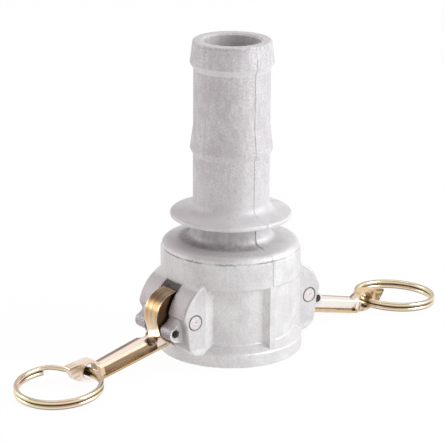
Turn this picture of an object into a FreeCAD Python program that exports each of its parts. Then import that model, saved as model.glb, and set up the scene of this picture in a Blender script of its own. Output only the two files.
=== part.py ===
import FreeCAD, Part
import math
import os

# Hose coupling with two cam arms, standing on its open socket end.
# Frame: millimetres, Z up along the flow axis, origin at the centre of the socket mouth,
# X across the two cam arms, Y along their pivot pins. The arms are open and rest on the table.

# Hose shank
tube_radius = 12.8
tube_wall = 3.3
tube_lip_rounding = 0.7
lower_barb_gap = 18.4
lower_barb_proud = 1.0
lower_barb_back_length = 8.3
end_barb_gap = 18.6
end_barb_proud = 1.17
end_barb_tip_proud = 0.3
end_barb_back_length = 7.6
barb_ramp_length = 2.1
barb_crest_land = 0.4

# Hose stop flange and the neck below it
flange_proud = 7.6
flange_thickness = 1.6
flange_edge_rounding = 0.7
flange_dome_rise = 1.4
flange_to_tube_fillet = 3.2
neck_proud = 0.7
neck_height = 7.0
neck_foot_rise = 1.3
neck_foot_fillet = 2.2
neck_top_fillet = 1.5

# Socket casting
skirt_proud = 0.8
skirt_height = 4.6
skirt_taper_height = 2.4
skirt_edge_rounding = 0.6
waist_wall = 2.6
waist_top_height = 25.9
shoulder_proud = 2.3
shoulder_under_rise = 0.6
shoulder_height = 11.1
mould_step_drop = 2.5
mould_step_depth = 0.3
shoulder_rounding = 2.3
casting_rounding = 0.8

# Socket bore, gasket groove and waterway
socket_radius = 18.7
mouth_chamfer = 0.8
groove_drop = 1.2
groove_height = 6.35
groove_depth = 1.4
waterway_cone_height = 6.0

# Gasket
gasket_width = 6.6
gasket_proud = 0.1
gasket_clearance = 0.15
gasket_chamfer = 0.5

# Ribs on the mould's parting line, and the fine seam above them
rib_crest_width = 2.5
rib_root_width = 5.6
seam_width = 0.5
seam_proud = 0.12

# Pivot pins
pin_standoff = 5.4
pin_height = 16.1
pin_radius = 2.5
pin_chamfer = 0.3
pin_seat_clearance = 0.08
pin_seat_chamfer = 0.25
pin_running_clearance = 0.095
pin_centre_mark_radius = 0.45
pin_centre_mark_depth = 0.4

# Lugs that carry the pins, their corners measured outward and upward from the pin
slot_width = 8.8
lug_face_spread = 25.8
lug_rounding = 0.9
lug_ledge = (-5.2, 10.5)
lug_top = (-3.7, 12.5)
lug_brow = (1.8, 8.2)
lug_nose = (4.9, 1.8)
lug_notch = (3.8, -0.7)
lug_heel = (2.9, -7.8)
lug_foot = (-2.5, -12.2)
lug_heel_bulge = 0.95
lobe_inset = 2.9
lobe_run = 6.1
lobe_fall = 3.4
lobe_hole_radius = 1.4
lobe_radius = 2.1
lobe_drop = 3.0
lobe_saddle = 0.35
lobe_overlap = 0.5

# Cam arms, measured from the pivot along the handle and square to it
arm_side_clearance = 0.9
arm_lean = 1.2
cam_reach = 8.9
cam_tip_radius = 1.6
cam_tip_angle = 96.0
cam_back_turn = 75.0
cam_crown_turn = 30.0
head_back_radius = 5.2
head_front_radius = 9.2
head_brow_angle = 46.0
head_front_angle = 8.0
head_tail_angle = -78.0
head_nape_angle = 165.0
chin_run = 2.6
handle_end_width = 5.2
handle_top_offset = -3.7
handle_thickness = 5.0
handle_start = 6.2
handle_bury = 3.0
handle_heel_rise = 1.2
handle_heel_rounding = 1.5
handle_edge_rounding = 0.6
side_groove_depth = 0.9
side_groove_lip = 1.0
side_groove_return = 0.3
side_groove_rise = 0.8
side_groove_margin = 1.4
root_pocket_radius = 2.1
root_pocket_reach = 12.0
eye_reach = 36.7
eye_rise = 0.9
eye_width = 3.4
eye_outer_radius = 3.85
eye_hole_radius = 2.7
eye_wall_end = 0.8
tip_crest = (7.8, 4.6)
tip_chin = (6.1, -0.4)
tip_rounding = 0.6

# Split rings, each one wire of two turns joined by a ramp
ring_wire_radius = 0.8
ring_mid_radius = 13.8
ring_turn_gap = 0.04
ring_drop_in_eye = {"left": 0.0, "right": 0.7}
ring_pull_in_eye = {"left": 0.8, "right": 0.7}
ring_end_angle = 122.0
ring_end_gap_angle = 3.0
ring_ramp_angle = 38.0
ring_ramp_steps = 8
ring_swing = {"left": 18.0, "right": 1.5}

# Heights and radii of the casting, each from the ones before it
flow_radius = tube_radius - tube_wall
neck_radius = tube_radius + neck_proud
flange_radius = tube_radius + flange_proud
waist_radius = socket_radius + waist_wall
shoulder_radius = waist_radius + shoulder_proud
skirt_radius = shoulder_radius + skirt_proud
waist_foot_height = skirt_height + skirt_taper_height
shoulder_foot_height = waist_top_height + shoulder_under_rise
shoulder_top_height = shoulder_foot_height + shoulder_height
mould_step_height = shoulder_top_height - mould_step_drop
neck_foot_height = shoulder_top_height + neck_foot_rise
flange_under_height = neck_foot_height + neck_height
flange_top_height = flange_under_height + flange_thickness
flange_dome_height = flange_top_height + flange_dome_rise
lower_barb_radius = tube_radius + lower_barb_proud
end_barb_radius = tube_radius + end_barb_proud
end_barb_tip_radius = tube_radius + end_barb_tip_proud
lower_barb_foot_height = flange_dome_height + lower_barb_gap
lower_barb_crest_height = lower_barb_foot_height + barb_ramp_length
lower_barb_top_height = lower_barb_crest_height + lower_barb_back_length
end_barb_foot_height = lower_barb_top_height + end_barb_gap
end_barb_crest_height = end_barb_foot_height + barb_ramp_length
shank_end_height = end_barb_crest_height + end_barb_back_length
groove_radius = socket_radius + groove_depth
groove_foot_height = waist_top_height - groove_drop
groove_top_height = groove_foot_height + groove_height
gasket_inner_radius = groove_radius - gasket_width
waterway_mouth_radius = gasket_inner_radius - gasket_proud

# Other values that follow from those above
pin_reach = socket_radius + pin_standoff
pin_seat_radius = pin_radius + pin_seat_clearance
lug_face = lug_face_spread / 2
slot_face = slot_width / 2
lobe_face = lug_face - lobe_inset
lobe_reach = pin_reach + lobe_run
lobe_height = pin_height - lobe_fall
arm_bore_radius = pin_radius + pin_running_clearance
head_width = slot_width - 2 * arm_side_clearance
handle_under_offset = handle_top_offset - handle_thickness
handle_end = eye_reach - eye_hole_radius - eye_wall_end
handle_taper = (head_width - handle_end_width) / 2 / (handle_end - handle_start)
eye_offset = handle_under_offset + eye_rise + eye_outer_radius
ring_pitch = 2 * ring_wire_radius + ring_turn_gap

# How far a cut runs past a face and added metal starts below one, and a reach beyond the whole part
overrun = 1.0
past_all = 200.0
lug_root = math.sqrt(socket_radius ** 2 - lug_face ** 2) - overrun
slot_root = math.sqrt(socket_radius ** 2 - slot_face ** 2) - overrun

# The open arms droop until their eyes rest on the table
eye_drop_angle = math.asin((pin_height - eye_outer_radius) / math.hypot(eye_reach, eye_offset))
arm_droop = math.degrees(eye_drop_angle + math.atan2(eye_offset, eye_reach))
SIDES = {"left": -1, "right": 1}

os.makedirs("parts", exist_ok=True)
V = FreeCAD.Vector
ORIGIN = V(0, 0, 0)
X_AXIS = V(1, 0, 0)
Y_AXIS = V(0, 1, 0)
Z_AXIS = V(0, 0, 1)


def upright(a, b):
    """Point of the XZ plane: a outward, b up."""
    return V(a, 0, b)


def across(a, b):
    """Point of the YZ plane: a along Y, b up."""
    return V(0, a, b)


def rounded_face(corners, place=upright):
    """Flat face through corners (a, b, rounding), each corner rounded by a tangent arc."""
    points = [V(a, b, 0) for a, b, _ in corners]
    bends = []
    for index, (_, _, rounding) in enumerate(corners):
        here = points[index]
        if rounding == 0:
            bends.append((here, None, here))
            continue
        back = (points[index - 1] - here).normalize()
        ahead = (points[(index + 1) % len(points)] - here).normalize()
        half_angle = back.getAngle(ahead) / 2
        run = rounding / math.tan(half_angle)
        bisector = (back + ahead).normalize()
        middle = here + bisector * (rounding / math.sin(half_angle) - rounding)
        bends.append((here + back * run, middle, here + ahead * run))
    edges = []
    for index, (start, middle, end) in enumerate(bends):
        following = bends[(index + 1) % len(bends)][0]
        if middle is not None:
            arc = Part.Arc(place(start.x, start.y), place(middle.x, middle.y), place(end.x, end.y))
            edges.append(arc.toShape())
        if end.distanceToPoint(following) > 1e-6:
            edges.append(Part.LineSegment(place(end.x, end.y), place(following.x, following.y)).toShape())
    return Part.Face(Part.Wire(edges))


def turned(corners):
    """Solid of revolution about Z from an outline of (radius, height, rounding)."""
    return rounded_face(corners).revolve(ORIGIN, Z_AXIS, 360)


def cylinder_y(radius, x, z, y_low, y_high):
    """Round bar along Y."""
    return Part.makeCylinder(radius, y_high - y_low, V(x, y_low, z), Y_AXIS)


def mirrored(shape, normal):
    """The shape reflected in the plane through the origin with this normal."""
    return shape.mirror(ORIGIN, normal)


def shank_outline(grow=0.0):
    """Outer outline from the shoulder's foot to the shank's end, (radius, height, rounding)."""
    return [
        (shoulder_radius + grow, shoulder_foot_height, casting_rounding),
        (shoulder_radius + grow, mould_step_height, 0),
        (shoulder_radius - mould_step_depth + grow, mould_step_height + mould_step_depth, 0),
        (shoulder_radius - mould_step_depth + grow, shoulder_top_height, shoulder_rounding),
        (neck_radius + grow, neck_foot_height, neck_foot_fillet),
        (neck_radius + grow, flange_under_height - mould_step_depth, neck_top_fillet),
        (flange_radius + grow, flange_under_height, flange_edge_rounding),
        (flange_radius + grow, flange_top_height, flange_edge_rounding),
        (tube_radius + grow, flange_dome_height, flange_to_tube_fillet),
        (tube_radius + grow, lower_barb_foot_height, 0),
        (lower_barb_radius + grow, lower_barb_crest_height, 0),
        (lower_barb_radius + grow, lower_barb_crest_height + barb_crest_land, 0),
        (tube_radius + grow, lower_barb_top_height, 0),
        (tube_radius + grow, end_barb_foot_height, 0),
        (end_barb_radius + grow, end_barb_crest_height, 0),
        (end_barb_radius + grow, end_barb_crest_height + barb_crest_land, 0),
        (end_barb_tip_radius + grow, shank_end_height, tube_lip_rounding),
    ]


def outer_casting():
    """Everything of the casting that is round outside, still solid inside."""
    outline = [
        (0, 0, 0),
        (skirt_radius, 0, skirt_edge_rounding),
        (skirt_radius, skirt_height, casting_rounding),
        (waist_radius, waist_foot_height, casting_rounding),
        (waist_radius, waist_top_height, casting_rounding / 2),
    ]
    return turned(outline + shank_outline() + [(0, shank_end_height, 0)])


def inner_cavity():
    """Socket bore, gasket groove, cone and flow bore as one solid to cut away."""
    cone_top = groove_top_height + waterway_cone_height
    return turned([
        (0, -overrun, 0),
        (socket_radius + mouth_chamfer + overrun, -overrun, 0),
        (socket_radius, mouth_chamfer, 0),
        (socket_radius, groove_foot_height, 0),
        (groove_radius, groove_foot_height, 0),
        (groove_radius, groove_top_height, 0),
        (waterway_mouth_radius, groove_top_height, 0),
        (flow_radius, cone_top, 0),
        (flow_radius, shank_end_height - tube_lip_rounding, 0),
        (flow_radius + tube_lip_rounding, shank_end_height, 0),
        (flow_radius + tube_lip_rounding, shank_end_height + overrun, 0),
        (0, shank_end_height + overrun, 0),
    ])


def parting_rib():
    """Drafted upright rib on the front of the waist, at the parting plane."""
    root = waist_radius - overrun
    foot = skirt_height - casting_rounding
    section = Part.makePolygon([
        V(-rib_root_width / 2, -root, foot),
        V(-rib_crest_width / 2, -shoulder_radius, foot),
        V(rib_crest_width / 2, -shoulder_radius, foot),
        V(rib_root_width / 2, -root, foot),
        V(-rib_root_width / 2, -root, foot),
    ])
    return Part.Face(section).extrude(V(0, 0, shoulder_foot_height + casting_rounding - foot))


def parting_seam():
    """Fine raised line that the two mould halves leave along the shank and the neck."""
    outline = [(flow_radius + overrun, shoulder_foot_height + casting_rounding, 0)]
    outline += shank_outline(seam_proud)
    outline += [(flow_radius + overrun, shank_end_height - tube_lip_rounding, 0)]
    outline[-2] = (end_barb_tip_radius + seam_proud, shank_end_height - tube_lip_rounding, 0)
    face = rounded_face([(-a, b, rounding) for a, b, rounding in outline], across)
    face.translate(V(-seam_width / 2, 0, 0))
    return face.extrude(V(seam_width, 0, 0))


def lug():
    """One lug of the right-hand pair, on the front side: a cheek and a thinner lobe for a lock pin."""
    cheek_face = lug_outline()
    cheek_face.translate(V(0, -lug_face, 0))
    cheek = cheek_face.extrude(V(0, lug_face - slot_face, 0))
    rim = [edge for edge in cheek.Edges
           if on_plane(edge, -lug_face) and edge.BoundBox.XMax > lug_root + overrun]
    cheek = cheek.makeFillet(lug_rounding, rim)
    lobe_face_plane = lobe_outline()
    lobe_face_plane.translate(V(0, -lobe_face, 0))
    lobe = lobe_face_plane.extrude(V(0, lobe_face - slot_face, 0))
    return cheek.fuse(lobe)


def on_plane(edge, y):
    """True where the whole edge lies in the plane at this y."""
    return abs(edge.BoundBox.YMin - y) < 1e-6 and abs(edge.BoundBox.YMax - y) < 1e-6


def from_pin(corner):
    """Point of the XZ plane at this run and rise from the right-hand pin."""
    return V(pin_reach + corner[0], 0, pin_height + corner[1])


def lug_outline():
    """Cheek of a lug seen along the pin: a bulging brow, a notch above the lobe and a curved heel."""
    ledge = from_pin(lug_ledge)
    top = from_pin(lug_top)
    nose = from_pin(lug_nose)
    notch = from_pin(lug_notch)
    heel = from_pin(lug_heel)
    foot = from_pin(lug_foot)
    heel_bulge = (heel + foot) / 2 + V(lug_heel_bulge, 0, -lug_heel_bulge)
    edges = [
        Part.LineSegment(V(lug_root, 0, ledge.z), ledge).toShape(),
        Part.LineSegment(ledge, top).toShape(),
        Part.Arc(top, from_pin(lug_brow), nose).toShape(),
        Part.LineSegment(nose, notch).toShape(),
        Part.LineSegment(notch, heel).toShape(),
        Part.Arc(heel, heel_bulge, foot).toShape(),
        Part.LineSegment(foot, V(lug_root, 0, foot.z)).toShape(),
        Part.LineSegment(V(lug_root, 0, foot.z), V(lug_root, 0, ledge.z)).toShape(),
    ]
    return Part.Face(Part.Wire(edges))


def lobe_outline():
    """Round-ended tab below the nose of a lug, seen along the pin."""
    swell = lobe_radius / math.sqrt(2)
    start = from_pin(lug_nose) - V(lobe_overlap, 0, lobe_overlap)
    upper = V(lobe_reach + swell, 0, lobe_height + swell)
    saddle = (start + upper) / 2 - V(lobe_saddle, 0, lobe_saddle)
    tip = V(lobe_reach + lobe_radius, 0, lobe_height)
    lower = V(lobe_reach - lobe_overlap, 0, lobe_height - lobe_drop)
    heel = from_pin(lug_heel) + V(-lobe_overlap, 0, lobe_overlap)
    inside = V(from_pin(lug_foot).x, 0, heel.z)
    back = V(inside.x, 0, start.z)
    edges = [
        Part.Arc(start, saddle, upper).toShape(),
        Part.Arc(upper, tip, lower).toShape(),
        Part.LineSegment(lower, heel).toShape(),
        Part.LineSegment(heel, inside).toShape(),
        Part.LineSegment(inside, back).toShape(),
        Part.LineSegment(back, start).toShape(),
    ]
    return Part.Face(Part.Wire(edges))


def four_ways(shape):
    """The shape and its three mirror images in the XZ and YZ planes."""
    pair = [shape, mirrored(shape, Y_AXIS)]
    return pair + [mirrored(each, X_AXIS) for each in pair]


def make_body():
    """The aluminium casting: shank, flange, shoulder, socket, ribs and four lugs."""
    rib = parting_rib()
    seam = parting_seam()
    additions = four_ways(lug()) + [rib, mirrored(rib, Y_AXIS), seam, mirrored(seam, Y_AXIS)]
    body = outer_casting().multiFuse(additions)
    cuts = [inner_cavity()]
    for side in SIDES.values():
        inner, outer = sorted((side * slot_root, side * past_all))
        slot_floor = waist_foot_height
        slot = Part.makeBox(outer - inner, slot_width, waist_top_height - slot_floor,
                            V(inner, -slot_face, slot_floor))
        cuts.append(slot)
        cuts.append(cylinder_y(pin_seat_radius, side * pin_reach, pin_height, -past_all, past_all))
        cuts.append(cylinder_y(lobe_hole_radius, side * lobe_reach, lobe_height, -past_all, past_all))
        for end in (-1, 1):
            cuts.append(Part.makeCone(pin_seat_radius + pin_seat_chamfer, pin_seat_radius, pin_seat_chamfer,
                                      V(side * pin_reach, end * lug_face, pin_height), V(0, -end, 0)))
    return body.cut(Part.makeCompound(cuts)).removeSplitter()


def make_gasket():
    """Flat rubber ring that fills the groove above the socket bore."""
    outer = groove_radius - gasket_clearance
    return turned([
        (gasket_inner_radius, groove_foot_height + gasket_chamfer, 0),
        (gasket_inner_radius + gasket_chamfer, groove_foot_height, 0),
        (outer, groove_foot_height, 0),
        (outer, groove_top_height, 0),
        (gasket_inner_radius, groove_top_height, 0),
    ])


def make_pin(side):
    """Pivot pin with chamfered ends, flush with the lugs, and a centre mark in each end."""
    x = side * pin_reach
    pin = cylinder_y(pin_radius, x, pin_height, -lug_face, lug_face)
    pin = pin.makeChamfer(pin_chamfer, [edge for edge in pin.Edges if edge.Closed])
    for end in (-1, 1):
        mark = Part.makeCone(pin_centre_mark_radius, 0, pin_centre_mark_depth,
                             V(x, end * lug_face, pin_height), V(0, -end, 0))
        pin = pin.cut(mark)
    return pin


def make_arm(side):
    """Cam arm, built along X from its pivot with the handle level, then tipped and leaned to its rest."""
    arm = arm_head().fuse([arm_handle(), arm_eye()])
    arm = arm.cut(Part.makeCompound(arm_side_grooves() + arm_root_pockets()))
    arm = arm.cut(cylinder_y(arm_bore_radius, 0, 0, -past_all, past_all))
    arm = arm.cut(cylinder_y(eye_hole_radius, eye_reach, eye_offset, -past_all, past_all))
    arm = arm.removeSplitter()
    arm.rotate(ORIGIN, Y_AXIS, arm_droop)
    arm.rotate(ORIGIN, Z_AXIS, -arm_lean)
    arm.translate(V(pin_reach, 0, pin_height))
    return arm if side > 0 else mirrored(arm, X_AXIS)


def polar(radius, degrees):
    """Point of the XZ plane at this distance and angle from the pivot."""
    angle = math.radians(degrees)
    return V(radius * math.cos(angle), 0, radius * math.sin(angle))


def plate(face, width):
    """Face of the XZ plane thickened evenly to both sides."""
    face.translate(V(0, -width / 2, 0))
    return face.extrude(V(0, width, 0))


def arm_head():
    """Head of the arm: a cam lobe that points up, and a round front that runs into the handle."""
    nose_centre = polar(cam_reach - cam_tip_radius, cam_tip_angle)
    lobe = cylinder_y(cam_tip_radius, nose_centre.x, nose_centre.z, -head_width / 2, head_width / 2)
    hub = cylinder_y(head_back_radius, 0, 0, -head_width / 2, head_width / 2)
    back = nose_centre + polar(cam_tip_radius, cam_tip_angle + cam_back_turn)
    crest = nose_centre + polar(cam_tip_radius, cam_tip_angle)
    crown = nose_centre + polar(cam_tip_radius, cam_tip_angle - cam_crown_turn)
    brow = polar(head_front_radius, head_brow_angle)
    front = polar(head_front_radius, head_front_angle)
    chin = V(handle_start + chin_run, 0, handle_top_offset)
    heel = V(handle_start, 0, handle_under_offset)
    tail = polar(head_back_radius, head_tail_angle)
    nape = polar(head_back_radius, head_nape_angle)
    edges = [
        Part.LineSegment(nape, back).toShape(),
        Part.Arc(back, crest, crown).toShape(),
        Part.Arc(crown, brow, front).toShape(),
        Part.LineSegment(front, chin).toShape(),
        Part.LineSegment(chin, heel).toShape(),
        Part.LineSegment(heel, tail).toShape(),
        Part.LineSegment(tail, nape).toShape(),
    ]
    return plate(Part.Face(Part.Wire(edges)), head_width).fuse([hub, lobe])


def arm_handle():
    """Handle bar from the head to the eye, its width tapering outward."""
    bar = plate(rounded_face([
        (handle_start - handle_bury, handle_under_offset + handle_heel_rise, 0),
        (handle_start, handle_under_offset, handle_heel_rounding),
        (handle_end, handle_under_offset, 0),
        (handle_end, handle_top_offset, 0),
        (handle_start - handle_bury, handle_top_offset, 0),
    ]), head_width)
    start = handle_start - handle_bury
    wide = half_width(start)
    narrow = half_width(handle_end)
    plan = Part.Face(Part.makePolygon([
        V(start, -wide, handle_under_offset),
        V(handle_end, -narrow, handle_under_offset),
        V(handle_end, narrow, handle_under_offset),
        V(start, wide, handle_under_offset),
        V(start, -wide, handle_under_offset),
    ]))
    bar = bar.common(plan.extrude(V(0, 0, handle_thickness)))
    long_edges = [edge for edge in bar.Edges if edge.BoundBox.XLength > handle_end / 2]
    return bar.makeFillet(handle_edge_rounding, long_edges)


def half_width(reach):
    """Half the handle's width at this distance from the pivot."""
    return head_width / 2 - handle_taper * (reach - handle_start)


def arm_eye():
    """Round eye at the handle's end with a blunt finger tip beyond it."""
    centre = V(eye_reach, 0, eye_offset)
    half = eye_width / 2
    eye = cylinder_y(eye_outer_radius, centre.x, centre.z, -half, half)
    crest = centre + upright(*tip_crest)
    chin = centre + upright(*tip_chin)
    over = tangent_point(centre, crest, 1)
    under = tangent_point(centre, chin, -1)
    tip = rounded_face([
        (centre.x, centre.z, 0),
        (over.x, over.z, 0),
        (crest.x, crest.z, tip_rounding),
        (chin.x, chin.z, tip_rounding),
        (under.x, under.z, 0),
    ])
    root_start = handle_end - side_groove_margin
    shoulder = tangent_point(centre, V(root_start, 0, handle_top_offset), -1)
    sole = tangent_point(centre, V(root_start, 0, handle_under_offset), 1)
    root = rounded_face([
        (root_start, handle_under_offset, 0),
        (sole.x, sole.z, 0),
        (centre.x, centre.z, 0),
        (shoulder.x, shoulder.z, 0),
        (root_start, handle_top_offset, 0),
    ])
    return eye.fuse([plate(tip, eye_width), plate(root, eye_width)])


def tangent_point(centre, point, turn):
    """Where the line from a point touches the eye, turn +1 or -1 for the two sides of the centre line."""
    line = point - centre
    heading = math.degrees(math.atan2(line.z, line.x))
    spread = math.degrees(math.acos(eye_outer_radius / line.Length))
    return centre + polar(eye_outer_radius, heading + turn * spread)


def arm_side_grooves():
    """Channel along each side of the handle, shallow above and deep above the lip that it leaves below."""
    low = handle_under_offset + side_groove_lip
    high = handle_top_offset - side_groove_rise
    start = head_front_radius + side_groove_margin
    length = handle_end - side_groove_margin - start
    side = half_width(start)
    cuts = []
    for end in (-1, 1):
        section = Part.Face(Part.makePolygon([
            V(start, end * side, high),
            V(start, end * (side - side_groove_depth), low + side_groove_return),
            V(start, end * side, low),
            V(start, end * side * 2, low),
            V(start, end * side * 2, high),
            V(start, end * side, high),
        ]))
        cuts.append(section.extrude(V(length, -end * handle_taper * length, 0)))
    return cuts


def arm_root_pockets():
    """Round hollows in the handle's upper edges, next to the head."""
    edge = half_width(root_pocket_reach)
    return [Part.makeSphere(root_pocket_radius, V(root_pocket_reach, end * edge, handle_top_offset))
            for end in (-1, 1)]


def ring_turn(level, first_angle):
    """Level turn of the wire, open by the ramp and the gap at the wire's end."""
    section = Part.Circle(V(ring_mid_radius, 0, level), Y_AXIS, ring_wire_radius).toShape()
    face = Part.Face(Part.Wire(section))
    turn = face.revolve(ORIGIN, Z_AXIS, 360 - ring_ramp_angle - ring_end_gap_angle)
    turn.rotate(ORIGIN, Z_AXIS, first_angle)
    return turn


def ring_ramp():
    """Stretch of the wire that falls from the end of the upper turn to the start of the lower one."""
    points = []
    for step in range(ring_ramp_steps + 1):
        share = step / ring_ramp_steps
        angle = math.radians(ring_end_angle + ring_ramp_angle * share)
        fall = (1 - math.cos(math.pi * share)) / 2
        points.append(V(ring_mid_radius * math.cos(angle), ring_mid_radius * math.sin(angle),
                        ring_pitch * (0.5 - fall)))
    start_heading = Z_AXIS.cross(V(points[0].x, points[0].y, 0)).normalize()
    end_heading = Z_AXIS.cross(V(points[-1].x, points[-1].y, 0)).normalize()
    path = Part.BSplineCurve()
    path.interpolate(Points=points, InitialTangent=start_heading, FinalTangent=end_heading)
    section = Part.Wire(Part.Circle(points[0], start_heading, ring_wire_radius).toShape())
    return Part.Wire(path.toShape()).makePipeShell([section], True, True)


def make_ring(side_name):
    """Split ring through the eye of an open arm, its far end on the table."""
    ramp_end = ring_end_angle + ring_ramp_angle
    drop = ring_drop_in_eye[side_name]
    lower = ring_turn(-ring_pitch / 2, ramp_end)
    upper = ring_turn(ring_pitch / 2, ramp_end + ring_end_gap_angle)
    ring = lower.fuse([ring_ramp(), upper])
    ring.translate(V(ring_mid_radius, 0, 0))
    fall = eye_outer_radius - drop - ring_wire_radius - ring_pitch / 2
    ring.rotate(ORIGIN, Y_AXIS, math.degrees(math.asin(fall / (2 * ring_mid_radius))))
    ring.rotate(ORIGIN, Z_AXIS, -ring_swing[side_name])
    tipped = FreeCAD.Rotation(Y_AXIS, arm_droop).multVec(V(eye_reach, 0, eye_offset))
    eye = FreeCAD.Rotation(Z_AXIS, -arm_lean).multVec(tipped)
    ring.translate(eye + V(pin_reach + ring_pull_in_eye[side_name], 0, pin_height - drop))
    return ring if SIDES[side_name] > 0 else mirrored(ring, X_AXIS)


nodes = {"coupler_body": make_body(), "socket_gasket": make_gasket()}
for side_name, side_sign in SIDES.items():
    nodes["pivot_pin_" + side_name] = make_pin(side_sign)
    nodes["cam_arm_" + side_name] = make_arm(side_sign)
    nodes["pull_ring_" + side_name] = make_ring(side_name)

for node_name, shape in nodes.items():
    shape.exportStep("parts/" + node_name + ".step")
    box = shape.BoundBox
    print(node_name, len(shape.Solids), shape.isValid(), round(shape.Volume, 1),
          [round(value, 3) for value in (box.XMin, box.YMin, box.ZMin, box.XMax, box.YMax, box.ZMax)])
print("arm droop", round(arm_droop, 3))
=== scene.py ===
import math

import bpy
from mathutils import Matrix, Vector

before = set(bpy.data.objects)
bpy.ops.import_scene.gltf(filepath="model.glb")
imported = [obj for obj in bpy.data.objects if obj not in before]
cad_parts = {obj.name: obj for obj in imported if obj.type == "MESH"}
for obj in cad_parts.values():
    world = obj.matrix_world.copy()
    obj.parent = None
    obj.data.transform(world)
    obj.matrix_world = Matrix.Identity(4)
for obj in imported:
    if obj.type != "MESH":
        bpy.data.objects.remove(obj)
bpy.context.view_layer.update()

# Camera: where it stands, measured from the flow axis, and how it is turned
CAMERA_AZIMUTH = math.radians(37.5)
CAMERA_DISTANCE = 0.7222
CAMERA_HEIGHT = 0.2715
CAMERA_PITCH = 0.3061
CAMERA_YAW = -0.0041
CAMERA_ROLL = 0.0079
CAMERA_LENS = 182.97
CAMERA_SENSOR = 36.0
CAMERA_CLIP = (0.05, 20.0)

# Studio: the world, the paper sweep, and the softboxes as name, place, side, power and colour
WHITE = (1, 1, 1)
WORLD_COLOUR = (1.0, 0.96, 0.968, 1)
WORLD_STRENGTH = 0.52
KEY_COLOUR = (0.92, 0.99, 1.0)
SWEEP_GLOW = 0.96
SWEEP_RADIUS = 2.6
SWEEP_LOW = 0.7
SWEEP_HIGH = 3.0
SWEEP_STEPS = 96
SWEEP_DROP = 0.0002
OBJECT_MIDDLE = (0, 0, 0.05)
SOFTBOXES = (
    ("right box", (0.68, -0.78, 0.5), 0.7, 9.6, KEY_COLOUR),
    ("top box", (0.2, 0.3, 1.3), 1.2, 5.0, WHITE),
    ("left box", (-0.7, 0.75, 0.4), 0.5, 2.0, WHITE),
)

# Places on the casting, in metres, as the frame has them. A pair is where a mask starts and ends.
MIDLINE = 0.001
PIN_REACH = 0.0241
PIN_HEIGHT = 0.0161
PIN_SEAT = (0.0026, 0.0029)
PIN_RIM = (0.0022, 0.00235)
LUG_FACE = (0.0128, 0.0130)
LUG_START = (0.0195, 0.0205)
LUG_OUTSIDE = (0.0225, 0.0240)
LUG_FOOT = (0.0062, 0.0070)
LUG_TOP = (0.0260, 0.0290)
LUG_EDGE_REACH = (0.0215, 0.0225)
LUG_EDGE_HEIGHTS = (0.0090, 0.0255)
LUG_EDGE_WIDTH = 0.0005
PIN_SEAT_DEPTH = (0.0123, 0.0128)
SLOT_HALF = 0.0044
SLOT_EDGE = (0.0045, 0.0047)
SLOT_REACH = (0.0155, 0.0280)
SLOT_HEIGHTS = (0.0215, 0.0262)
LOBE_REACH = 0.0302
LOBE_HEIGHT = 0.0127
LOBE_HOLE = (0.0014, 0.0027)
MOULD_STEP_HEIGHTS = (0.0356, 0.0358)
MOULD_STEP_RIGHT = (-0.006, 0.010)
MOULD_STEP_BACK = (0.002, 0.010)
NECK_HEIGHTS = (0.0385, 0.0452)
NECK_GIRTH = (0.0165, 0.0185)
NECK_FADE = (0.0385, 0.0420)
NECK_SHADE = (-0.004, 0.005)
SEAM_HALF = (0.00015, 0.0003)
SEAM_CLEAR = (0.0006, 0.0012)
SHOULDER_TO_FLANGE = (0.0362, 0.0520)
SHADE_LEFT = (-0.006, -0.018)
FLANGE_UNDERSIDE = (0.050, 0.052)
SHANK_END = (0.1050, 0.1054)
SHANK_END_RIGHT = (0.002, 0.008)
LINE_WANDER = 0.0012

# Heights over which the casting's finish changes; the first is painted bounce light, bright on the skirt and gone at
# the grey shank
BOUNCE_LIT_TO_GREY = (0.020, 0.066)
SMOOTH_TO_STREAKED = (0.052, 0.072)
SMOOTH_TO_ROUGH = (0.048, 0.068)
CLEAN_TO_PITTED = (0.03, 0.06)
BRIGHT_TO_DULL = (0.030, 0.048)

# Places on the cam arms, in metres: along the arm from its pivot, and square to it
ARM_DROOP = math.radians(13.24)
HEAD_RIM = (0.0094, 0.0098)
HEAD_TOP = (0.0054, 0.0074)
HEAD_AMBER = (-0.002, 0.006)
THROAT = (0.0065, 0.0120)
THROAT_DEPTH = (0.001, -0.004)
POCKET_REACH = 0.0120
POCKET_DEPTH = -0.0037
POCKET_SIDE = 0.0032
POCKET_RIM = (0.0022, 0.0027)
WORN_HEAD = (0.0105, 0.0115)
LIP_START = (-0.0077, -0.0079)
LIP_END = (-0.0077, -0.0075)
FOLD_HEIGHTS = (-0.0077, -0.0071)
FOLD_REACH = (0.007, 0.0325)
FAR_EDGE_TURN = 0.0542
FAR_EDGE = 0.0037
FAR_EDGE_REACH = (0.0105, 0.0325)
FAR_EDGE_WIDTH = (-0.0024, -0.0016)
EYE_REACH = 0.0367
EYE_DEPTH = -0.00395
EYE_RIM = (0.0028, 0.0031)
EYE_START = (0.0325, 0.0335)
EYE_PALE = (0.032, 0.034)
EYE_UNDERSIDE = (0.033, 0.035)
EYE_UNDERSIDE_DEPTH = (-0.0040, -0.0062)
TIP_START = (0.0402, 0.0410)
TIP_STRIPE = 0.0014
TIP_SLANT = 0.8
TIP_WAVE = (-0.2, 0.4)

# Stretches of a noise that masks are drawn from
NOISE_MIDDLE = (0.35, 0.65)
GRAIN_MIDDLE = (0.38, 0.62)
GRAIN_SPREAD = (0.3, 0.7)
SPECKLE_GRAIN = (0.45, 0.6)
STEP_BREAKS = (0.0, 0.6)
PIT_CLUSTERS = (0.3, 0.9)
EYE_BLOTS = (0.5, 0.56)
WHOLE = (0.0, 1.0)

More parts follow.
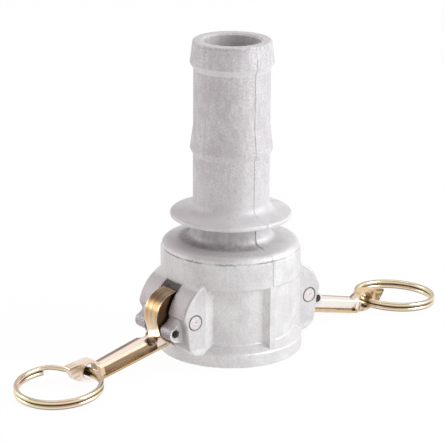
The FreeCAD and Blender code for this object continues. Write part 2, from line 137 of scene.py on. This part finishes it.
# Stretches of the surface normal's x, y or z that masks are drawn from
LUG_OUTWARD = (0.25, 0.6)
SHOULDER_UP = (0.3, 0.7)
FLANGE_DOWN = (-0.35, -0.55)
ARM_TOP = (0.55, 0.85)
ARM_EDGE_TOP = (0.4, 0.6)
ARM_FLANK = (0.85, 0.93)
ARM_FRONT = (-0.6, -0.8)
ARM_FRONT_FLANK = (-0.8, -0.92)
CHANNEL_FLOOR = (-0.45, -0.12)
WIRE_TOP = (0.70, 0.95)
WIRE_BELOW = (0.05, -0.55)

# How strongly each mask shows
MOTTLE = 0.3
WORN_CASTING = 0.85
FLANGE_GLINT = 0.45
SHOULDER_SHADE = 0.6
PITTING = 0.75
LUG_OUTSIDE_DULLING = 0.85
LUG_FRONT_DULLING = 0.35
SLOT_DARKENING = 0.3
CREASE_DARKNESS = 0.8
SEAT_SHADE = 0.45
BRASS_BLOTCHES = 0.15
TOP_REFLECTION = 0.9
THROAT_REFLECTION = 0.8
EYE_END_REFLECTION = 0.6
RIGHT_FLANK_REFLECTION = 0.85
LIP_GOLD = 0.8
RIGHT_EYE_GOLD = 0.75
FOLD_SHADE = 0.8
FAR_EDGE_SHADE = 0.9
FLANK_STAIN = 0.85
CROWN_STAIN = 0.9
EYE_HOLE_SHADE = 0.8
WIRE_TOP_DARK_REFLECTION = 0.5
WIRE_BELOW_DARK_REFLECTION = 0.85
PIN_GAP_SHADE_STRENGTH = 0.8
PIN_METAL = 0.6
DUST = 0.4

# Linear colours
ALUMINIUM = (0.71, 0.695, 0.70, 1)
ALUMINIUM_BOUNCE_LIT = (0.80, 0.79, 0.785, 1)
ALUMINIUM_DARK = (0.50, 0.46, 0.47, 1)
ALUMINIUM_MAUVE = (0.52, 0.465, 0.485, 1)
ALUMINIUM_WORN_AND_GLINT = (0.92, 0.905, 0.91, 1)
ALUMINIUM_SPECK = (0.17, 0.15, 0.16, 1)
CREASE_AND_SHADE = (0.16, 0.13, 0.14, 1)
BRASS = (0.82, 0.62, 0.42, 1)
BRASS_AMBER = (0.42, 0.25, 0.11, 1)
BRASS_REFLECTION_BEIGE = (0.95, 0.81, 0.71, 1)
BRASS_REFLECTION_PALE = (0.97, 0.93, 0.88, 1)
BRASS_BROWN = (0.17, 0.10, 0.05, 1)
BRASS_BRIGHT = (0.98, 0.85, 0.62, 1)
BRASS_GOLD = (0.74, 0.52, 0.26, 1)
WIRE_YELLOW = (0.85, 0.75, 0.50, 1)
WIRE_PINK = (0.90, 0.66, 0.54, 1)
WIRE_BROWN = (0.16, 0.10, 0.07, 1)
PIN_STEEL = (0.60, 0.53, 0.54, 1)
PIN_PALE = (0.86, 0.80, 0.80, 1)
PIN_GAP_SHADE = (0.10, 0.08, 0.08, 1)
RUBBER = (0.02, 0.02, 0.02, 1)
RUBBER_DUSTY = (0.05, 0.05, 0.05, 1)
FLOOR_WHITE = (0.93, 0.93, 0.93, 1)


class Nodes:
    """Short way to place and join the nodes of one tree."""

    def __init__(self, tree):
        self.tree = tree

    def add(self, kind, values=None, **settings):
        """New node; values sets its inputs by name or index, and a socket among them is joined."""
        node = self.tree.nodes.new(kind)
        for name, value in settings.items():
            setattr(node, name, value)
        for name, value in (values or {}).items():
            self.put(node.inputs[name], value)
        return node

    def put(self, target, value):
        """Value or joint on an input socket."""
        if isinstance(value, bpy.types.NodeSocket):
            self.tree.links.new(value, target)
        else:
            target.default_value = value

    def maths(self, operation, first, second=0.0, clamp=False):
        """Result of a Math node."""
        return self.add("ShaderNodeMath", {0: first, 1: second}, operation=operation, use_clamp=clamp).outputs[0]

    def chain(self, operation, first, *others):
        """Result of one operation that takes in each value in turn."""
        for other in others:
            first = self.maths(operation, first, other)
        return first

    def product(self, *values):
        """All values multiplied: where masks overlap."""
        return self.chain("MULTIPLY", *values)

    def largest(self, *values):
        """The largest value: masks laid together."""
        return self.chain("MAXIMUM", *values)

    def size(self, value):
        """Value without its sign."""
        return self.maths("ABSOLUTE", value)

    def blend(self, share, first, second):
        """Colour between first and second."""
        node = self.add("ShaderNodeMix", data_type="RGBA")
        self.put(node.inputs[0], share)
        self.put(node.inputs[6], first)
        self.put(node.inputs[7], second)
        return node.outputs[2]

    def layers(self, base, *coats):
        """Base colour under coats, each a mask and a colour."""
        for mask, colour in coats:
            base = self.blend(mask, base, colour)
        return base

    def between(self, value, low, high, start=0.0, end=1.0):
        """Value brought from low..high to start..end with soft ends."""
        node = self.add("ShaderNodeMapRange", {0: value, 1: low, 2: high, 3: start, 4: end},
                        interpolation_type="SMOOTHSTEP")
        return node.outputs[0]

    def fade(self, value, low, high):
        """1 up to low and 0 from high, with soft ends."""
        return self.between(value, low, high, start=1.0, end=0.0)

    def band(self, value, low, high, soft):
        """1 where the value lies between low and high, with soft ends."""
        return self.product(self.between(value, low - soft, low), self.fade(value, high, high + soft))

    def away_from(self, spot, *centre):
        """Distance of a spot, given as single values, from a centre."""
        total = 0.0
        for value, middle in zip(spot, centre):
            off = self.maths("SUBTRACT", value, middle)
            total = self.maths("ADD", self.product(off, off), total)
        return self.maths("SQRT", total)

    def in_object(self, output):
        """Position ("Object") or facing ("Normal") in the frame's own axes, as single values."""
        whole = self.add("ShaderNodeTexCoord").outputs[output]
        return self.add("ShaderNodeSeparateXYZ", {0: whole}).outputs

    def left_right(self, place, left, right):
        """One value left of the flow axis and another right of it."""
        return self.between(place[0], -MIDLINE, MIDLINE, start=left, end=right)


def new_group(name, inputs, outputs):
    """Node group with its sockets, and the sockets at its two ends."""
    group = bpy.data.node_groups.new(name, "ShaderNodeTree")
    for label, kind, default in inputs:
        made = group.interface.new_socket(name=label, in_out="INPUT", socket_type=kind)
        made.default_value = default
    for label, kind in outputs:
        group.interface.new_socket(name=label, in_out="OUTPUT", socket_type=kind)
    return group, group.nodes.new("NodeGroupInput").outputs, group.nodes.new("NodeGroupOutput").inputs


def worn_edge_group():
    """Mask that is 1 along outward edges, broken up by noise."""
    group, given, result = new_group(
        "worn edges",
        [("Radius", "NodeSocketFloat", 0.0006), ("Sharpness", "NodeSocketFloat", 4.0),
         ("Breakup", "NodeSocketFloat", 0.5)],
        [("Mask", "NodeSocketFloat")])
    nodes = Nodes(group)
    rounded = nodes.add("ShaderNodeBevel", {"Radius": given["Radius"]}, samples=4)
    facing = nodes.add("ShaderNodeNewGeometry")
    same = nodes.add("ShaderNodeVectorMath", {0: rounded.outputs[0], 1: facing.outputs["Normal"]},
                     operation="DOT_PRODUCT").outputs["Value"]
    edge = nodes.maths("MULTIPLY", nodes.maths("SUBTRACT", 1.0, same), given["Sharpness"], clamp=True)
    place = nodes.add("ShaderNodeTexCoord").outputs["Object"]
    noise = nodes.add("ShaderNodeTexNoise", {"Vector": place, "Scale": 420.0, "Detail": 3.0}).outputs[0]
    worn = nodes.between(noise, *NOISE_MIDDLE, start=nodes.maths("SUBTRACT", 1.0, given["Breakup"]))
    nodes.put(result["Mask"], nodes.product(edge, worn))
    return group


def grain_group():
    """Fine surface grain: a height for bump and a mask for colour."""
    group, given, result = new_group(
        "surface grain",
        [("Scale", "NodeSocketFloat", 2600.0), ("Stretch", "NodeSocketVector", (1, 1, 1)),
         ("Cloud scale", "NodeSocketFloat", 140.0)],
        [("Height", "NodeSocketFloat"), ("Cloud", "NodeSocketFloat")])
    nodes = Nodes(group)
    place = nodes.add("ShaderNodeTexCoord").outputs["Object"]
    drawn = nodes.add("ShaderNodeVectorMath", {0: place, 1: given["Stretch"]}, operation="MULTIPLY").outputs[0]
    fine = nodes.add("ShaderNodeTexNoise", {"Vector": drawn, "Scale": given["Scale"], "Detail": 4.0,
                                            "Roughness": 0.6}).outputs[0]
    cloud = nodes.add("ShaderNodeTexNoise", {"Vector": drawn, "Scale": given["Cloud scale"],
                                             "Detail": 3.0}).outputs[0]
    nodes.put(result["Height"], fine)
    nodes.put(result["Cloud"], nodes.between(cloud, *NOISE_MIDDLE))
    return group


def speck_group():
    """Mask of small scattered pits and specks."""
    group, given, result = new_group(
        "specks",
        [("Scale", "NodeSocketFloat", 420.0), ("Size", "NodeSocketFloat", 0.12),
         ("Share", "NodeSocketFloat", 0.12)],
        [("Mask", "NodeSocketFloat")])
    nodes = Nodes(group)
    place = nodes.add("ShaderNodeTexCoord").outputs["Object"]
    cells = nodes.add("ShaderNodeTexVoronoi", {"Vector": place, "Scale": given["Scale"]})
    near = nodes.fade(cells.outputs["Distance"], 0.0, given["Size"])
    pick = nodes.add("ShaderNodeSeparateColor", {0: cells.outputs["Color"]}).outputs[0]
    nodes.put(result["Mask"], nodes.product(near, nodes.maths("LESS_THAN", pick, given["Share"])))
    return group


GROUPS = {"edges": worn_edge_group(), "grain": grain_group(), "specks": speck_group()}


def empty_tree(owner):
    """Cleared node tree of a material or world."""
    owner.use_nodes = True
    owner.node_tree.nodes.clear()
    return Nodes(owner.node_tree)


def new_material(name):
    """Material with its output and Principled shader."""
    material = bpy.data.materials.new(name)
    nodes = empty_tree(material)
    shader = nodes.add("ShaderNodeBsdfPrincipled")
    nodes.add("ShaderNodeOutputMaterial", {"Surface": shader.outputs[0]})
    return material, nodes, shader


def effect(nodes, name, **values):
    """One of the shared effects, with this material's values."""
    node = nodes.add("ShaderNodeGroup", node_tree=GROUPS[name])
    for label, value in values.items():
        nodes.put(node.inputs[label.replace("_", " ").capitalize()], value)
    return node.outputs


def grain_roughness(nodes, shader, grain, smooth, rough):
    """Roughness that follows the grain."""
    nodes.put(shader.inputs["Roughness"], nodes.between(grain["Height"], *GRAIN_SPREAD, start=smooth, end=rough))


def grain_bump(nodes, shader, grain, strength, depth):
    """Bump from the grain."""
    bump = nodes.add("ShaderNodeBump", {"Strength": strength, "Distance": depth, "Height": grain["Height"]})
    nodes.put(shader.inputs["Normal"], bump.outputs[0])


def casting_marks_and_shade(nodes, place, fine, cloud):
    """Mask of the darker places: slot ends, specks on the lug edges by the arms and round the lobe holes, and painted
    shade in the neck.
    """
    reach = nodes.size(place[0])
    side = nodes.size(place[1])
    # Darker inside the slot ends.
    slot_end = nodes.product(nodes.fade(side, *SLOT_EDGE), nodes.band(place[2], *SLOT_HEIGHTS, soft=0.0002),
                             nodes.band(reach, *SLOT_REACH, soft=0.0005), SLOT_DARKENING)
    lug_edge = nodes.product(nodes.band(side, SLOT_HALF, SLOT_HALF + LUG_EDGE_WIDTH, soft=0.0004),
                             nodes.between(reach, *LUG_EDGE_REACH),
                             nodes.band(place[2], *LUG_EDGE_HEIGHTS, soft=0.0005))
    hole = nodes.product(nodes.fade(nodes.away_from((reach, place[2]), LOBE_REACH, LOBE_HEIGHT), *LOBE_HOLE),
                         nodes.left_right(place, 0.8, 0.15))
    speckled = nodes.product(nodes.largest(lug_edge, hole), nodes.between(fine, *SPECKLE_GRAIN, start=0.1, end=0.8))
    # Painted shade in the neck under the flange, weaker higher up and gone on the right where the key light falls.
    neck = nodes.product(nodes.band(place[2], *NECK_HEIGHTS, soft=0.001),
                         nodes.fade(nodes.away_from((place[0], place[1]), 0.0, 0.0), *NECK_GIRTH),
                         nodes.between(place[2], *NECK_FADE, start=0.5, end=0.36),
                         nodes.fade(place[0], *NECK_SHADE), nodes.between(cloud, *WHOLE, start=0.7))
    return nodes.largest(slot_end, speckled, neck)


def casting_lugs(nodes, place, facing):
    """Mask of the lugs' duller faces: the outer ones, and weakly the front and back ones."""
    reach = nodes.size(place[0])
    outside = nodes.product(nodes.between(reach, *LUG_OUTSIDE), nodes.between(nodes.size(facing[0]), *LUG_OUTWARD),
                            LUG_OUTSIDE_DULLING)
    front = nodes.product(nodes.band(nodes.size(place[1]), *LUG_FACE, soft=0.0002),
                          nodes.between(reach, *LUG_START, end=LUG_FRONT_DULLING))
    return nodes.product(nodes.largest(outside, front), nodes.between(place[2], *LUG_FOOT),
                         nodes.fade(place[2], *LUG_TOP))


def casting_creases_and_seat_shade(nodes, place, fine, grain, streaks):
    """Mask of the thin dark lines of the mould step, parting seam and end of the shank, and of painted shade in the
    pin seats.
    """
    wander = nodes.product(nodes.maths("SUBTRACT", streaks["Height"], 0.5), LINE_WANDER)
    step = nodes.product(nodes.band(nodes.maths("ADD", place[2], wander), *MOULD_STEP_HEIGHTS, soft=0.0003),
                         nodes.between(grain["Cloud"], *STEP_BREAKS, start=0.25, end=0.75),
                         nodes.between(place[0], *MOULD_STEP_RIGHT, start=1.0, end=0.35),
                         nodes.between(place[1], *MOULD_STEP_BACK, start=1.0, end=0.4))
    seam = nodes.product(nodes.fade(nodes.size(nodes.maths("ADD", place[0], wander)), *SEAM_HALF),
                         nodes.band(place[2], *NECK_HEIGHTS, soft=0.0004))
    rim = nodes.product(nodes.band(place[2], *SHANK_END, soft=0.0003),
                        nodes.between(place[0], *SHANK_END_RIGHT, start=0.3, end=0.0), fine)
    # Painted shade in the pin seats round each pin.
    from_pin = nodes.away_from((nodes.size(place[0]), place[2]), PIN_REACH, PIN_HEIGHT)
    seat = nodes.product(nodes.fade(from_pin, *PIN_SEAT), nodes.between(nodes.size(place[1]), *PIN_SEAT_DEPTH),
                         SEAT_SHADE)
    return nodes.largest(nodes.product(nodes.largest(step, seam, rim), CREASE_DARKNESS), seat)


def cast_aluminium():
    """Blasted casting: pinkish grey, mottled, finely grained and pitted, with dark creases and worn edges, painted
    bounce light on the skirt, a painted glint under the flange, and painted shade on the left tops, in the neck and
    in the pin seats.
    """
    material, nodes, shader = new_material("cast aluminium")
    place = nodes.in_object("Object")
    facing = nodes.in_object("Normal")
    grain = effect(nodes, "grain", scale=1500.0, cloud_scale=130.0)
    streaks = effect(nodes, "grain", scale=900.0, stretch=(1, 1, 0.35), cloud_scale=700.0)
    specks = effect(nodes, "specks", scale=760.0, size=0.3, share=0.2)
    edges = effect(nodes, "edges", radius=0.0006, sharpness=5.0, breakup=0.6)
    fine = nodes.between(grain["Height"], *GRAIN_MIDDLE)
    streaky = nodes.product(streaks["Cloud"], nodes.between(place[2], *SMOOTH_TO_STREAKED, start=0.1, end=0.5))
    rough = nodes.product(fine, nodes.between(place[2], *SMOOTH_TO_ROUGH, start=0.18, end=0.6))
    worn = nodes.product(edges["Mask"], nodes.between(nodes.size(place[0]), *SEAM_CLEAR), WORN_CASTING)
    # Painted highlight: a glint on the flange's downward faces.
    glint = nodes.product(nodes.between(facing[2], *FLANGE_DOWN), nodes.between(place[2], *FLANGE_UNDERSIDE),
                          FLANGE_GLINT)
    # Painted shade: the upward faces from the shoulder to the flange darker on the left.
    shaded_top_left = nodes.product(nodes.between(facing[2], *SHOULDER_UP),
                             nodes.band(place[2], *SHOULDER_TO_FLANGE, soft=0.001),
                             nodes.between(place[0], *SHADE_LEFT, end=SHOULDER_SHADE))
    pits = nodes.product(specks["Mask"], nodes.between(streaks["Cloud"], *PIT_CLUSTERS),
                         nodes.between(place[2], *CLEAN_TO_PITTED, start=0.35), PITTING)
    # Painted bounce light: the casting paler low on the skirt, fading to the grey of the shank.
    base = nodes.blend(nodes.between(place[2], *BOUNCE_LIT_TO_GREY), ALUMINIUM_BOUNCE_LIT, ALUMINIUM)
    base = nodes.layers(base, (nodes.product(grain["Cloud"], MOTTLE), ALUMINIUM_MAUVE), (streaky, ALUMINIUM_MAUVE),
                        (rough, ALUMINIUM_DARK), (worn, ALUMINIUM_WORN_AND_GLINT),
                        (casting_lugs(nodes, place, facing), ALUMINIUM_DARK), (glint, ALUMINIUM_WORN_AND_GLINT),
                        (shaded_top_left, ALUMINIUM_MAUVE), (pits, ALUMINIUM_SPECK))
    dark = nodes.largest(casting_creases_and_seat_shade(nodes, place, fine, grain, streaks),
                         casting_marks_and_shade(nodes, place, grain["Height"], streaks["Cloud"]))
    nodes.put(shader.inputs["Base Color"], nodes.blend(dark, base, CREASE_AND_SHADE))
    nodes.put(shader.inputs["Metallic"], nodes.between(place[2], *BRIGHT_TO_DULL, start=0.7, end=0.25))
    grain_roughness(nodes, shader, grain, smooth=0.52, rough=0.68)
    grain_bump(nodes, shader, grain, strength=0.6, depth=0.00012)
    return material


def arm_place(nodes, place):
    """Distance along the open arm from its pivot, and square to it."""
    out = nodes.maths("SUBTRACT", nodes.size(place[0]), PIN_REACH)
    rise = nodes.maths("SUBTRACT", place[2], PIN_HEIGHT)
    along = nodes.maths("SUBTRACT", nodes.product(out, math.cos(ARM_DROOP)), nodes.product(rise, math.sin(ARM_DROOP)))
    square = nodes.maths("ADD", nodes.product(out, math.sin(ARM_DROOP)), nodes.product(rise, math.cos(ARM_DROOP)))
    return along, square


def handle_shade(nodes, place, along, square, facing):
    """Brown of the handle: painted dark reflection in the left arm's channels, and painted shade in the fold above
    the lip and along the far edge of the top.
    """
    # Painted dark reflection: the left arm's downturned channel faces brown.
    channel = nodes.product(nodes.between(nodes.size(facing[1]), *ARM_FLANK),
                            nodes.band(facing[2], *CHANNEL_FLOOR, soft=0.06), nodes.left_right(place, 0.8, 0.0))
    # Painted shade in the fold above the lip.
    fold = nodes.product(nodes.band(square, *FOLD_HEIGHTS, soft=0.0002), nodes.band(along, *FOLD_REACH, soft=0.0005),
                         FOLD_SHADE)
    # Painted shade along the far edge of the top.
    taper = nodes.maths("SUBTRACT", nodes.product(along, FAR_EDGE_TURN), FAR_EDGE)
    far_edge = nodes.product(nodes.between(nodes.maths("ADD", place[1], taper), *FAR_EDGE_WIDTH, end=FAR_EDGE_SHADE),
                             nodes.between(facing[2], *ARM_EDGE_TOP), nodes.band(along, *FAR_EDGE_REACH, soft=0.001))
    return nodes.largest(channel, fold, far_edge)


def brass_stains_and_shade(nodes, place, along, square, facing, cloud):
    """Mask of the brown places: stain on the flanks and top of the head and stripes on the tip, and painted shade on
    the handle, in the root hollows and in and round the eye hole.
    """
    from_pivot = nodes.away_from((along, square), 0.0, 0.0)
    flank = nodes.product(nodes.between(nodes.size(facing[1]), *ARM_FLANK), nodes.fade(from_pivot, *HEAD_RIM),
                          FLANK_STAIN)
    crown = nodes.between(square, *HEAD_TOP, end=CROWN_STAIN)
    # Painted shade in the root hollows.
    from_pocket = nodes.away_from((along, square, nodes.size(place[1])), POCKET_REACH, POCKET_DEPTH, POCKET_SIDE)
    hollow = nodes.fade(from_pocket, *POCKET_RIM)
    # Painted shade in and round the eye hole.
    from_eye = nodes.away_from((along, square), EYE_REACH, EYE_DEPTH)
    eye = nodes.product(nodes.fade(from_eye, *EYE_RIM), EYE_HOLE_SHADE)
    slanted = nodes.maths("ADD", place[1], nodes.product(square, TIP_SLANT))
    wave = nodes.maths("SINE", nodes.product(slanted, 2 * math.pi / TIP_STRIPE))
    tip = nodes.product(nodes.between(wave, *TIP_WAVE), nodes.left_right(place, 0.35, 0.8),
                        nodes.between(along, *TIP_START))
    stains_and_shade = nodes.largest(handle_shade(nodes, place, along, square, facing), flank, crown, hollow, eye, tip)
    return nodes.product(stains_and_shade, nodes.between(cloud, *WHOLE, start=0.85))


def polished_brass():
    """Polished cast brass: amber head, golden lip, stained brown places and bright edges; painted reflection makes
    the top beige and the eye end, its underside and the right arm's flank pale, and painted shade browns the handle's
    channels, fold and far edge, the root hollows and the eye hole.
    """
    material, nodes, shader = new_material("polished brass")
    place = nodes.in_object("Object")
    facing = nodes.in_object("Normal")
    along, square = arm_place(nodes, place)
    grain = effect(nodes, "grain", scale=900.0, stretch=(0.12, 1, 0.12), cloud_scale=900.0)
    blotches = effect(nodes, "grain", scale=500.0, cloud_scale=170.0)
    edges = effect(nodes, "edges", radius=0.0004, sharpness=6.0, breakup=0.2)
    on_right = nodes.left_right(place, 0.0, 1.0)
    to_front = nodes.between(facing[1], *ARM_FRONT)
    # Painted reflection in beige: the top faces, the low throat and the eye end paler, as light mirrored from the
    # lamp above and the floor.
    throat = nodes.product(nodes.between(square, *THROAT_DEPTH, end=THROAT_REFLECTION),
                           nodes.band(along, *THROAT, soft=0.001))
    pale = nodes.largest(nodes.between(facing[2], *ARM_TOP, end=TOP_REFLECTION),
                         nodes.between(along, *EYE_PALE, end=EYE_END_REFLECTION), throat)
    amber = nodes.product(nodes.between(square, *HEAD_AMBER), nodes.between(grain["Cloud"], *WHOLE, start=0.5))
    # Painted reflection: the right arm's front flank pale with mirrored light.
    right_flank_reflection = nodes.product(on_right, nodes.between(facing[1], *ARM_FRONT_FLANK), nodes.fade(along, *EYE_START),
                               nodes.between(square, *LIP_END), RIGHT_FLANK_REFLECTION)
    lip = nodes.product(nodes.between(square, *LIP_START), to_front, LIP_GOLD)
    right_eye = nodes.product(on_right, nodes.between(along, *EYE_START))
    eye_gold = nodes.product(right_eye, RIGHT_EYE_GOLD)
    eye_blots = nodes.product(right_eye, to_front, nodes.between(blotches["Height"], *EYE_BLOTS, end=0.8))
    stains_and_shade = nodes.largest(brass_stains_and_shade(nodes, place, along, square, facing, grain["Cloud"]), eye_blots)
    # Painted reflection: the eye end's underside pale with the floor's light, most on the left arm.
    under = nodes.product(nodes.between(along, *EYE_UNDERSIDE), nodes.between(square, *EYE_UNDERSIDE_DEPTH),
                          nodes.left_right(place, 0.9, 0.2))
    worn = nodes.product(edges["Mask"], nodes.between(along, *WORN_HEAD, start=1.0, end=0.15))
    base = nodes.blend(nodes.product(blotches["Cloud"], BRASS_BLOTCHES), BRASS, BRASS_BROWN)
    base = nodes.layers(base, (pale, BRASS_REFLECTION_BEIGE), (amber, BRASS_AMBER), (right_flank_reflection, BRASS_REFLECTION_PALE), (lip, BRASS_GOLD),
                        (eye_gold, BRASS_GOLD), (stains_and_shade, BRASS_BROWN), (under, BRASS_REFLECTION_PALE), (worn, BRASS_BRIGHT))
    nodes.put(shader.inputs["Base Color"], base)
    nodes.put(shader.inputs["Metallic"], 1.0)
    grain_roughness(nodes, shader, grain, smooth=0.22, rough=0.34)
    grain_bump(nodes, shader, grain, strength=0.10, depth=0.0001)
    return material


def ring_wire():
    """Yellow plated wire with pink casts, and painted dark reflection in brown below and along its top."""
    material, nodes, shader = new_material("ring wire")
    facing = nodes.in_object("Normal")
    grain = effect(nodes, "grain", scale=1800.0, cloud_scale=90.0)
    # Painted dark reflection: the wire brown along its top and more below.
    dark_reflection = nodes.largest(nodes.between(facing[2], *WIRE_TOP, end=WIRE_TOP_DARK_REFLECTION),
                            nodes.between(facing[2], *WIRE_BELOW, end=WIRE_BELOW_DARK_REFLECTION))
    base = nodes.blend(dark_reflection, nodes.blend(grain["Cloud"], WIRE_YELLOW, WIRE_PINK), WIRE_BROWN)
    nodes.put(shader.inputs["Base Color"], base)
    nodes.put(shader.inputs["Metallic"], 1.0)
    grain_roughness(nodes, shader, grain, smooth=0.20, rough=0.26)
    return material


def ground_steel():
    """Pin ends: ground steel, scratched, with painted shade of the gap round the rim."""
    material, nodes, shader = new_material("ground steel")
    place = nodes.in_object("Object")
    grain = effect(nodes, "grain", scale=1500.0, stretch=(1, 1, 6), cloud_scale=700.0)
    from_pin = nodes.away_from((nodes.size(place[0]), place[2]), PIN_REACH, PIN_HEIGHT)
    # Painted shade of the gap round the pin's rim.
    gap = nodes.between(from_pin, *PIN_RIM, end=PIN_GAP_SHADE_STRENGTH)
    base = nodes.blend(gap, nodes.blend(grain["Cloud"], PIN_STEEL, PIN_PALE), PIN_GAP_SHADE)
    nodes.put(shader.inputs["Base Color"], base)
    nodes.put(shader.inputs["Metallic"], PIN_METAL)
    grain_roughness(nodes, shader, grain, smooth=0.35, rough=0.5)
    return material


def gasket_rubber():
    """Black moulded rubber, a little dusty."""
    material, nodes, shader = new_material("gasket rubber")
    grain = effect(nodes, "grain", scale=1600.0, cloud_scale=200.0)
    nodes.put(shader.inputs["Base Color"], nodes.blend(nodes.product(grain["Cloud"], DUST), RUBBER, RUBBER_DUSTY))
    grain_roughness(nodes, shader, grain, smooth=0.6, rough=0.8)
    grain_bump(nodes, shader, grain, strength=0.2, depth=0.0001)
    return material


def dress(material, *names):
    """The material on each of these CAD nodes."""
    for name in names:
        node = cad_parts[name]
        node.data.materials.clear()
        node.data.materials.append(material)


def stand(name, data):
    """Object of this data, placed in the scene."""
    made = bpy.data.objects.new(name, data)
    bpy.context.scene.collection.objects.link(made)
    return made


def place_camera():
    """Camera at the height, distance and turn of the photograph."""
    heading = CAMERA_AZIMUTH + CAMERA_YAW
    forward = Vector((math.sin(heading) * math.cos(CAMERA_PITCH),
                      math.cos(heading) * math.cos(CAMERA_PITCH), -math.sin(CAMERA_PITCH)))
    level = forward.cross(Vector((0, 0, 1))).normalized()
    upward = level.cross(forward)
    right = level * math.cos(CAMERA_ROLL) + upward * math.sin(CAMERA_ROLL)
    top = upward * math.cos(CAMERA_ROLL) - level * math.sin(CAMERA_ROLL)
    data = bpy.data.cameras.new("camera")
    data.lens = CAMERA_LENS
    data.sensor_width = CAMERA_SENSOR
    data.clip_start, data.clip_end = CAMERA_CLIP
    camera = stand("camera", data)
    turn = Matrix((right, top, -forward)).transposed().to_4x4()
    spot = Vector((-math.sin(CAMERA_AZIMUTH) * CAMERA_DISTANCE, -math.cos(CAMERA_AZIMUTH) * CAMERA_DISTANCE,
                   CAMERA_HEIGHT))
    camera.matrix_world = Matrix.Translation(spot) @ turn
    bpy.context.scene.camera = camera


def hang_softbox(name, place, side, power, colour):
    """Square area lamp that looks at the middle of the object."""
    data = bpy.data.lights.new(name, "AREA")
    data.shape = "SQUARE"
    data.size = side
    data.energy = power
    data.color = colour
    away = Vector(place) - Vector(OBJECT_MIDDLE)
    stand(name, data).matrix_world = Matrix.Translation(place) @ away.to_track_quat("Z", "Y").to_matrix().to_4x4()


def light_room():
    """Dim even world, a bright box at the right, a broad one above and a weak one at the left."""
    world = bpy.data.worlds.new("room")
    nodes = empty_tree(world)
    background = nodes.add("ShaderNodeBackground", {"Color": WORLD_COLOUR, "Strength": WORLD_STRENGTH})
    nodes.add("ShaderNodeOutputWorld", {"Surface": background.outputs[0]})
    bpy.context.scene.world = world
    for softbox in SOFTBOXES:
        hang_softbox(*softbox)


def sweep_white():
    """White paper, which the camera and reflections see as white but for the shadows on it."""
    material = bpy.data.materials.new("sweep white")
    nodes = empty_tree(material)
    matt = nodes.add("ShaderNodeBsdfDiffuse", {"Color": FLOOR_WHITE})
    glow = nodes.add("ShaderNodeEmission", {"Color": (*WHITE, 1), "Strength": 1.0})
    shown = nodes.add("ShaderNodeLightPath").outputs
    seen = nodes.largest(shown["Is Camera Ray"], shown["Is Glossy Ray"], shown["Is Transmission Ray"])
    mixed = nodes.add("ShaderNodeMixShader", {0: nodes.product(seen, SWEEP_GLOW), 1: matt.outputs[0],
                                              2: glow.outputs[0]})
    nodes.add("ShaderNodeOutputMaterial", {"Surface": mixed.outputs[0]})
    return material


def lay_sweep():
    """Round floor with a paper wall about it, low at the camera's side and high behind the part."""
    points = [(0, 0, 0)]
    faces = []
    for step in range(SWEEP_STEPS):
        angle = 2 * math.pi * step / SWEEP_STEPS
        behind = (1 + math.cos(angle - (math.pi / 2 - CAMERA_AZIMUTH))) / 2
        height = SWEEP_LOW + (SWEEP_HIGH - SWEEP_LOW) * behind ** 2
        x = SWEEP_RADIUS * math.cos(angle)
        y = SWEEP_RADIUS * math.sin(angle)
        points += [(x, y, 0), (x, y, height)]
        here = 1 + 2 * step
        ahead = 1 + 2 * ((step + 1) % SWEEP_STEPS)
        faces += [(0, here, ahead), (here, here + 1, ahead + 1, ahead)]
    mesh = bpy.data.meshes.new("sweep")
    mesh.from_pydata(points, [], faces)
    mesh.materials.append(sweep_white())
    sweep = stand("sweep", mesh)
    sweep.location.z = -SWEEP_DROP


dress(cast_aluminium(), "coupler_body")
dress(gasket_rubber(), "socket_gasket")
dress(ground_steel(), "pivot_pin_left", "pivot_pin_right")
dress(polished_brass(), "cam_arm_left", "cam_arm_right")
dress(ring_wire(), "pull_ring_left", "pull_ring_right")
place_camera()
light_room()
lay_sweep()
bpy.context.scene.view_settings.view_transform = "Standard"
